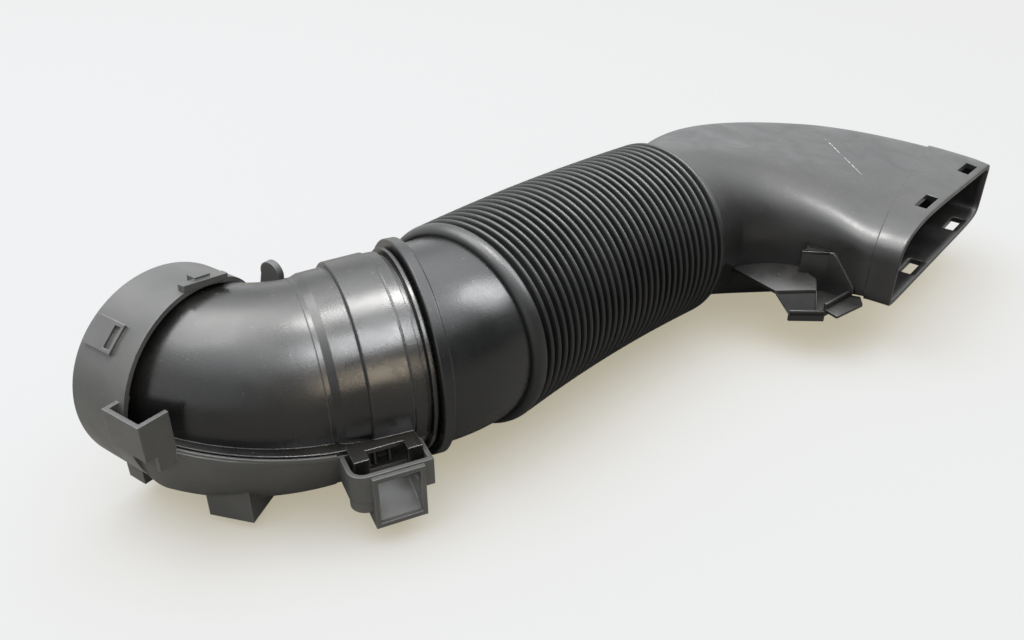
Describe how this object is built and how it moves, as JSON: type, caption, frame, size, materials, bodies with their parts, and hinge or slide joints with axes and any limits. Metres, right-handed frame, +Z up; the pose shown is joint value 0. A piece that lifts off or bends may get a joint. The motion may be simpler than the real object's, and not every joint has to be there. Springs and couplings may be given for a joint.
{
  "type": "air intake duct",
  "caption": "Black engine air intake duct: clip-together elbow with a round collar, short tube, ribbed bellows hose, and a curved snorkel that flattens into a wide slotted mouth.",
  "frame": {"origin": "centre of the collar's mouth, on the duct's level centreline", "axes": "+Z up, square to the plane that holds the centreline; +X along the start of the bellows hose; +Y completes a right-handed frame, so the collar opens roughly towards +Y and the wide mouth towards -Y"},
  "size_m": [0.4618, 0.2045, 0.0947],
  "materials": {
    "lower_shell_plastic": "satin moulded black plastic with a faint green cast and worn edges",
    "upper_shell_plastic": "semi-gloss moulded black plastic with brown dust",
    "seal_rubber": "matt black seal rubber",
    "tube_plastic": "smooth black plastic with a soft sheen",
    "hose_rubber": "matt black moulded rubber",
    "snorkel_plastic": "blow-moulded black plastic, satin, dusty and lightly scratched"
  },
  "bodies": {
    "root": {"elbow_lower_shell": "lower_shell_plastic", "elbow_upper_shell": "upper_shell_plastic", "elbow_seal": "seal_rubber", "connecting_tube": "tube_plastic", "bellows_hose": "hose_rubber", "snorkel": "snorkel_plastic"}
  },
  "joints": []
}
